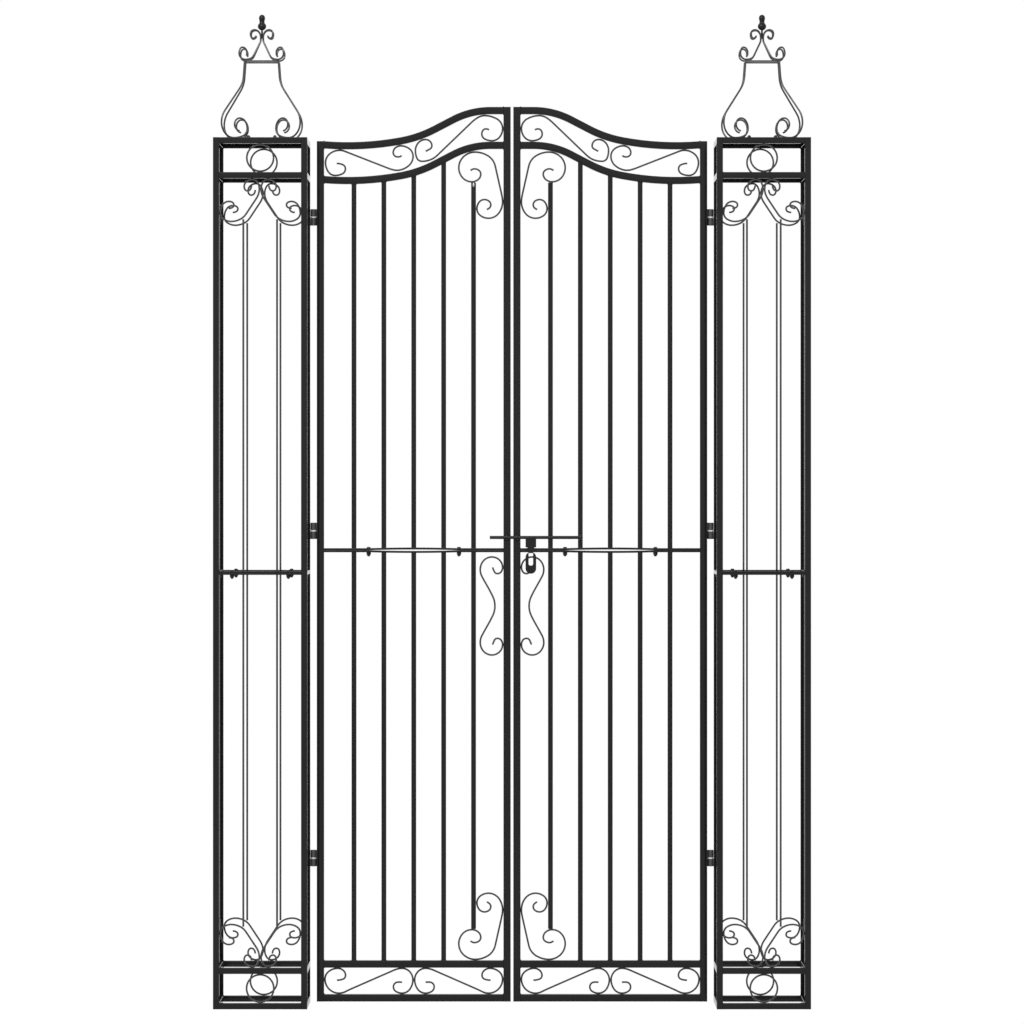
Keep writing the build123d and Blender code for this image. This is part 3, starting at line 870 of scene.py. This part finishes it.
def leaf_half(side, half):
    """The tubes and bars of half a leaf, with beads of weld where they meet, but none on the ground."""
    shape = Shape()
    plane = leaf_plane(side)
    tube = rounded_bar(leaf_tube, leaf_tube, leaf_corner)
    upper = half == "upper"
    outer_top = top_rail[-1].y + leaf_tube / 2
    outer_ends = (leaf_joint, outer_top) if upper else (leaf_low.z, leaf_joint)
    inner_ends = (leaf_joint, crest_height) if upper else (leaf_low.z, leaf_joint)
    for place, ends in ((leaf_outer + leaf_tube / 2, outer_ends), (leaf_inner - leaf_tube / 2, inner_ends)):
        shape.sweep(plane, straight((place, ends[0]), (place, ends[1])), tube)
    if upper:
        rails = [top_rail, band_rail]
    else:
        levels = (leaf_low.z + leaf_tube / 2, base_rail + leaf_tube / 2)
        rails = [straight((clear_inner, level), (clear_outer, level)) for level in levels]
    for rail in rails:
        shape.sweep(plane, rail, tube)
        for end in (rail[0], rail[-1]):
            for level in (end.y - leaf_tube / 2, end.y + leaf_tube / 2):
                if level > leaf_tube:
                    weld(shape, plane, end.x, level, leaf_tube * weld_length_share, leaf_weld)
    hand = 1 if upper else -1
    stops = [clear_outer]
    for step in range(leaf_bow_steps + 1):
        stops.append(leaf_middle + leaf_bolt_offset * (2 * step / leaf_bow_steps - 1))
    stops.append(clear_inner)
    bow = [Vector((place, joint_level(place, hand))) for place in stops]
    shape.sweep(plane, bow, rounded_bar(leaf_joint_bar, leaf_joint_deep, leaf_joint_edge, steps=2))
    bar = rounded_bar(leaf_bar, leaf_bar, leaf_bar_corner, steps=3)
    for count, place in enumerate(bar_places):
        corner = count == len(bar_places) - 1
        if upper:
            rail_end = rail_at(band_rail, place)[0] - leaf_tube / 2 + leaf_bar_sink
            far_end = corner_bar_high if corner else rail_end
        else:
            far_end = corner_bar_low if corner else base_rail_top
        low, high = sorted((joint_level(place, hand), far_end))
        shape.sweep(plane, straight((place, low), (place, high)), bar)
        if not corner:
            for edge in (-1, 1):
                seat = place + edge * leaf_bar / 2
                level = rail_at(band_rail, seat)[0] - leaf_tube / 2 if upper else base_rail_top
                weld(shape, plane, seat, level, leaf_bar * weld_length_share, leaf_weld * bar_weld_share)
    name = f"{side}_leaf_{half}"
    shape.piece(f"{name}_frame", tube_paint, f"{side}_leaf", "black_paint", name)


for side in SIDES:
    for half in ("lower", "upper"):
        leaf_half(side, half)


# Scrolls of the leaves. The same steel rod as in the posts is bent to long S scrolls for the bands, to
# hooks beside the meeting stile's ends and to a waisted scroll under the bolt, and welded where it touches.
handle_height = 0.203
handle_width = 0.0463
handle_drop = 0.0097
base_scroll_shares = (
    (0.136, 0.523, 0),
    (0.234, 0.718, 90),
    (0.144, 1.000, 180),
    (0.000, 0.564, 270),
    (0.159, 0.000, 0),
    (0.302, 0.180, None),
    (0.780, 0.920, None),
    (0.876, 1.000, 0),
    (1.000, 0.538, 270),
    (0.876, 0.000, 180),
    (0.778, 0.256, 90),
    (0.831, 0.446, 0),
    (0.876, 0.430, -30),
)
low_band_scroll_shares = (
    (0.066, 0.486, 2),
    (0.115, 0.286, 270),
    (0.058, 0.017, 182),
    (0.003, 0.487, 94),
    (0.082, 0.998, 2),
    (0.134, 0.902, None),
    (0.360, 0.182, None),
    (0.419, 0.055, 0),
    (0.496, 0.480, 74),
    (0.427, 0.990, 170),
    (0.384, 0.775, 261),
    (0.409, 0.579, -10),
    (0.431, 0.613, 49),
)
high_band_scroll_shares = (
    (0.567, 0.490, 7),
    (0.602, 0.604, 64),
    (0.567, 0.960, 157),
    (0.509, 0.676, 252),
    (0.546, 0.151, -21),
    (0.631, 0.099, None),
    (0.830, 0.834, None),
    (0.902, 0.990, -4),
    (1.000, 0.479, 270),
    (0.940, 0.010, 180),
    (0.883, 0.289, 84),
    (0.906, 0.474, -3),
    (0.924, 0.431, -41),
)
corner_scroll_shares = (
    (0.266, 0.723, 30),
    (0.358, 0.747, 0),
    (0.502, 0.668, 270),
    (0.297, 0.551, 180),
    (0.000, 0.763, 90),
    (0.373, 1.000, 0),
    (0.832, 0.790, None),
    (0.972, 0.378, None),
    (1.000, 0.247, 270),
    (0.679, 0.000, 180),
    (0.415, 0.146, 90),
    (0.587, 0.283, 0),
    (0.731, 0.202, 270),
    (0.639, 0.132, 200),
)
handle_scroll_shares = (
    (0.551, 0.894, 290),
    (0.772, 0.830, 0),
    (1.000, 0.894, 90),
    (0.521, 1.000, 180),
    (0.000, 0.873, 270),
    (0.249, 0.730, None),
    (0.349, 0.690, None),
    (0.659, 0.500, 270),
    (0.349, 0.310, None),
    (0.249, 0.270, None),
    (0.000, 0.127, 270),
    (0.521, 0.000, 0),
    (1.000, 0.106, 90),
    (0.772, 0.170, 180),
    (0.551, 0.106, 250),
)


def turned_over(shares):
    """The same scroll upside down."""
    return [(across, 1 - up, None if turn is None else -turn) for across, up, turn in shares]


def in_band(shares):
    """A scroll's places and headings between the two swept rails, whose slope it follows."""
    bends = []
    for across, up, turn in shares:
        place = clear_outer + scroll_seat + across * (clear_width - 2 * scroll_seat)
        level, slope = rail_at(band_rail, place)
        seat = (leaf_tube / 2 + scroll_seat) / math.cos(slope)
        height = level + seat + up * (top_band_drop - 2 * seat)
        bends.append((Vector((place, height)), None if turn is None else turn + math.degrees(slope)))
    return bends


base_line = scroll_line(
    in_box(
        base_scroll_shares,
        clear_outer + scroll_seat,
        leaf_middle - scroll_seat,
        leaf_low.z + leaf_tube + scroll_seat,
        base_rail - scroll_seat,
    )
)
stile_seat = clear_inner - scroll_seat
hook_low = base_rail_top + scroll_seat
handle_high = leaf_joint - leaf_joint_bar - handle_drop
handle_low = handle_high - handle_height
leaf_lines = [base_line, [Vector((2 * leaf_middle - place.x, place.y)) for place in base_line]]
for shares in (low_band_scroll_shares, high_band_scroll_shares):
    leaf_lines.append(scroll_line(in_band(shares)))
for shares, low in ((corner_scroll_shares, corner_low), (turned_over(corner_scroll_shares), hook_low)):
    box = (stile_seat - corner_width, stile_seat, low, low + corner_height)
    leaf_lines.append(scroll_line(in_box(shares, *box)))
box = (stile_seat - handle_width, stile_seat, handle_low, handle_high)
leaf_lines.append(scroll_line(in_box(handle_scroll_shares, *box)))
corner_weld = 0.0027
for side in SIDES:
    shape = Shape()
    plane = leaf_plane(side)
    for line in leaf_lines:
        shape.sweep(plane, line, rod_section)
    for level in (corner_bar_low, corner_bar_high):
        weld(shape, plane, bar_places[-1], level, leaf_bar, corner_weld)
    name = f"{side}_leaf_scroll"
    shape.piece(f"{name}_rods", painted_sheen_rod_paint, f"{side}_leaf", "black_paint", f"{name}s")


# Bare tack. One drop of bright bare steel weld metal, dull in places, sits where the left leaf's short bar
# meets its upper hook.
def bare_steel(name):
    """Bright bare weld metal, dull in places."""
    finish = Finish(bpy.data.materials.new(name))
    place = finish.node("ShaderNodeTexCoord", {}, {}, "Object")
    dull = noise(finish, place, scale=900.0, detail=2.0)
    bright = (0.62, 0.62, 0.61, 1)
    dulled = (0.34, 0.34, 0.33, 1)
    finish.shade(Base_Color=finish.mix(dull, bright, dulled), Metallic=1.0, Roughness=0.30 + dull * 0.25)
    return finish.owner


tack_profile = ((0.0006, 0.0), (0.0019, 0.0016), (0.0026, 0.0045), (0.0022, 0.0074), (0.0008, 0.0098))
tack_height = tack_profile[-1][1]
tack_foot = leaf_plane("left").at(bar_places[-1], corner_bar_high - tack_height, leaf_bar / 2)
shape = Shape()
shape.turn(tack_foot, (0, 0, 1), tack_profile, sides=14)
shape.piece("left_leaf_bare_tack", bare_steel("bare_weld_steel"), "left_leaf", "black_paint", smooth=60)


# Bolts of the leaf joints. The same steel screws with button heads and cap nuts as on the posts draw the
# middle bars together, two to a leaf, painted with it.
leaf_bolt_size = 0.0044
for side in SIDES:
    shape = Shape()
    plane = leaf_plane(side)
    for place in (leaf_middle - leaf_bolt_offset, leaf_middle + leaf_bolt_offset):
        bolt(shape, plane, place, leaf_joint, leaf_joint_bar, leaf_bolt_size)
    shape.piece(f"{side}_leaf_bolts", tube_paint, f"{side}_leaf", "black_paint")


# Slide bolt. A round steel bar slides in two staples on the right leaf and shoots through a third on the
# left one, and a flat tongue with a slot is welded to it and hangs down, to pull it by.
bolt_low, bolt_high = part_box("slide_bolt")
bolt_radius = 0.0034
bolt_drop = 0.0026
bolt_chamfer = 0.0006
bolt_level = bolt_high.z - bolt_drop
bolt_y = (bolt_low.y + bolt_high.y) / 2
tongue_offset = 0.039
tongue_half = 0.011
tongue_neck_half = 0.0072
tongue_thick = 0.004
tongue_edge = 0.0005
tongue_corner = 0.0105
tongue_levels = (0.0, -0.0205, -0.0300, -0.0750)
tongue_weld = 0.0034
slot_half = 0.0046
slot_corner = 0.0036
slot_levels = (-0.0325, -0.058)
quarter_steps = 6
bar = Shape()
bar_profile = chamfered(bolt_radius, bolt_high.x - bolt_low.x, bolt_chamfer)
bar.turn(Vector((bolt_low.x, bolt_y, bolt_level)), (1, 0, 0), bar_profile, sides=24)
bar.piece("slide_bolt_bar", tube_paint, "bolt", "black_paint", "slide_bolt")


def quarter(middle, radius, start):
    """Points round a quarter turn clockwise."""
    turns = [start - 90 * step / quarter_steps for step in range(quarter_steps + 1)]
    return [middle + heading_of(turn) * radius for turn in turns]


def tongue_outline():
    """The edge of the hanging tongue: a square block, a neck and an eye with round corners."""
    top, block, neck, foot = tongue_levels
    lift = tongue_corner
    inset = tongue_half - tongue_corner
    right = [Vector((tongue_half, top)), Vector((tongue_half, block)), Vector((tongue_neck_half, block))]
    right.append(Vector((tongue_neck_half, neck)))
    right += quarter(Vector((inset, neck - lift)), tongue_corner, 90)
    right += quarter(Vector((inset, foot + lift)), tongue_corner, 0)
    return right + [Vector((-place.x, place.y)) for place in reversed(right)]


def slot_outline():
    """The edge of the tongue's slot, square above and round below."""
    top, foot = slot_levels
    right = [Vector((slot_half, top))]
    right += quarter(Vector((slot_half - slot_corner, foot + slot_corner)), slot_corner, 0)
    return right + [Vector((-place.x, place.y)) for place in reversed(right)]


plate = bpy.data.curves.new("tongue_edges", "CURVE")
plate.dimensions = "2D"
plate.fill_mode = "BOTH"
plate.extrude = tongue_thick / 2 - tongue_edge
plate.bevel_depth = tongue_edge
plate.bevel_resolution = 2
plate.offset = -tongue_edge
for outline in (tongue_outline(), slot_outline()):
    spline = plate.splines.new("POLY")
    spline.points.add(len(outline) - 1)
    spline.use_cyclic_u = True
    for point, place in zip(spline.points, outline):
        point.co = (place.x, place.y, 0, 1)
drawn = bpy.data.objects.new("tongue_edges", plate)
bpy.context.scene.collection.objects.link(drawn)
pressed = drawn.evaluated_get(bpy.context.evaluated_depsgraph_get()).to_mesh()
tongue_plane = Plane((gate_middle + tongue_offset, bolt_y, bolt_level), (1, 0, 0))
tongue = Shape()
tongue.points = [tongue_plane.at(*vertex.co) for vertex in pressed.vertices]
tongue.faces = [tuple(face.vertices) for face in pressed.polygons]
bpy.data.objects.remove(drawn)
for hand in (-1, 1):
    seam = Plane(tongue_plane.at(hand * tongue_half, 0), (0, 1, 0))
    weld(tongue, seam, 0.0, 0.0, tongue_weld, tongue_weld)
tongue.piece("slide_bolt_tongue", tube_paint, "bolt", "black_paint", "slide_bolt")


# Staples of the slide bolt. Flat steel strip is bent to a U around the bolt's bar, and its legs are welded
# to the front of the stiles and of one upright bar.
staple_wall = 0.0035
staple_wide = 0.0040
staple_edge = 0.0006
staple_gap = 0.0002
staple_weld = 0.0011
staple_steps = 18
staple_lead = bolt_radius + staple_gap + staple_wall / 2
stile_place = leaf_inner - leaf_tube / 2
stile_face = leaf_middle_y - leaf_tube / 2
bar_face = leaf_middle_y - leaf_bar / 2


def staple(shape, place, face):
    """A U of strip around the bolt, from leg to leg, in the plane across the gate."""
    plane = Plane((gate_middle + place, bolt_y, bolt_level), (0, 1, 0))
    reach = face - bolt_y
    turns = [90 + 180 * step / staple_steps for step in range(staple_steps + 1)]
    bow = [heading_of(turn) * staple_lead for turn in turns]
    line = [Vector((reach, staple_lead))] + bow + [Vector((reach, -staple_lead))]
    shape.sweep(plane, line, rounded_bar(staple_wall, staple_wide, staple_edge, steps=2))
    for hand in (-1, 1):
        weld(shape, plane, reach, hand * (staple_lead + staple_wall / 2), staple_wide, staple_weld)


guides = Shape()
staple(guides, -stile_place, stile_face)
staple(guides, -bar_places[-2], bar_face)
guides.piece("bolt_guide_staples", tube_paint, "right_leaf", "black_paint", "bolt_guides")
keeper = Shape()
staple(keeper, stile_place, stile_face)
keeper.piece("bolt_keeper_staple", tube_paint, "left_leaf", "black_paint", "bolt_keeper")


# Floor and studio. A pale, nearly white floor and white surroundings, which the gloss mirrors, with one
# large soft lamp above the front. Both are white to the eye, and light the gate more gently.
floor_half = 60.0
floor_grey = 0.80
floor_seen_white = 0.94
floor_glossy_white = 0.55
floor_glow = 1.03
surrounding_light = (0.62, 0.62, 0.63, 1)
white = (1, 1, 1, 1)
lamp_wide = 3.0
lamp_deep = 2.0
lamp_watts = 140
lamp_place = Vector((gate_middle - 1.2, -3.6, 4.2))
lamp_target = Vector((gate_middle, 0.1, 1.0))


def cover(finish, output, share, shader):
    """Lays a second shader over the first by a share, and sends both to the output."""
    own = Signal(finish, finish.shader.outputs[0])
    blend = finish.node("ShaderNodeMixShader", {}, {0: share, 1: own, 2: shader})
    finish.feed(finish.tree.nodes[output].inputs["Surface"], blend)


floor_mesh = bpy.data.meshes.new("studio_floor")
floor_corners = [
    (gate_middle - floor_half, -floor_half, 0),
    (gate_middle + floor_half, -floor_half, 0),
    (gate_middle + floor_half, floor_half, 0),
    (gate_middle - floor_half, floor_half, 0),
]
floor_mesh.from_pydata(floor_corners, [], [(0, 1, 2, 3)])
floor = bpy.data.objects.new("studio_floor", floor_mesh)
bpy.context.scene.collection.objects.link(floor)
pale = Finish(bpy.data.materials.new("studio_floor_white"))
pale.shade(Base_Color=(floor_grey, floor_grey, floor_grey, 1), Roughness=0.9, Specular_IOR_Level=0.0)
seen = pale.node("ShaderNodeLightPath", {}, {}, "Is Camera Ray")
mirrored = pale.node("ShaderNodeLightPath", {}, {}, "Is Glossy Ray")
through = pale.node("ShaderNodeLightPath", {}, {}, "Is Transmission Ray")
floor_white_share = (seen + through) * floor_seen_white + mirrored * floor_glossy_white
floor_shine = pale.node("ShaderNodeEmission", {}, {"Color": white, "Strength": floor_glow})
cover(pale, "Material Output", floor_white_share, floor_shine)
floor_mesh.materials.append(pale.owner)

sky = Finish(bpy.data.worlds.new("studio_surroundings"), "Background")
bpy.context.scene.world = sky.owner
sky.shade(Color=surrounding_light)
seen = sky.node("ShaderNodeLightPath", {}, {}, "Is Camera Ray")
mirrored = sky.node("ShaderNodeLightPath", {}, {}, "Is Glossy Ray")
through = sky.node("ShaderNodeLightPath", {}, {}, "Is Transmission Ray")
bright_sky = sky.node("ShaderNodeBackground", {}, {"Color": white})
cover(sky, "World Output", seen + mirrored + through, bright_sky)

lamp_data = bpy.data.lights.new("soft_front_lamp", "AREA")
lamp_data.shape = "RECTANGLE"
lamp_data.size = lamp_wide
lamp_data.size_y = lamp_deep
lamp_data.energy = lamp_watts
lamp = bpy.data.objects.new("soft_front_lamp", lamp_data)
lamp.location = lamp_place
lamp.rotation_euler = (lamp_target - lamp_place).to_track_quat("-Z", "Y").to_euler()
bpy.context.scene.collection.objects.link(lamp)


# Camera. It stands twelve metres in front and a little over a metre high, square to the gate, with a long
# lens that is shifted, so that the gate sits in the picture as it does in the photograph.
camera_distance = 12.2063
camera_height = 1.070
camera_data = bpy.data.cameras.new("camera")
camera_data.sensor_width = 36.0
camera_data.lens = 210.3
camera_data.shift_y = -0.0266
camera_data.clip_end = 200.0
camera = bpy.data.objects.new("camera", camera_data)
camera.location = (gate_middle, -camera_distance, camera_height)
camera.rotation_euler = (math.pi / 2, 0, 0)
bpy.context.scene.collection.objects.link(camera)
bpy.context.scene.camera = camera
bpy.context.scene.view_settings.view_transform = "Standard"
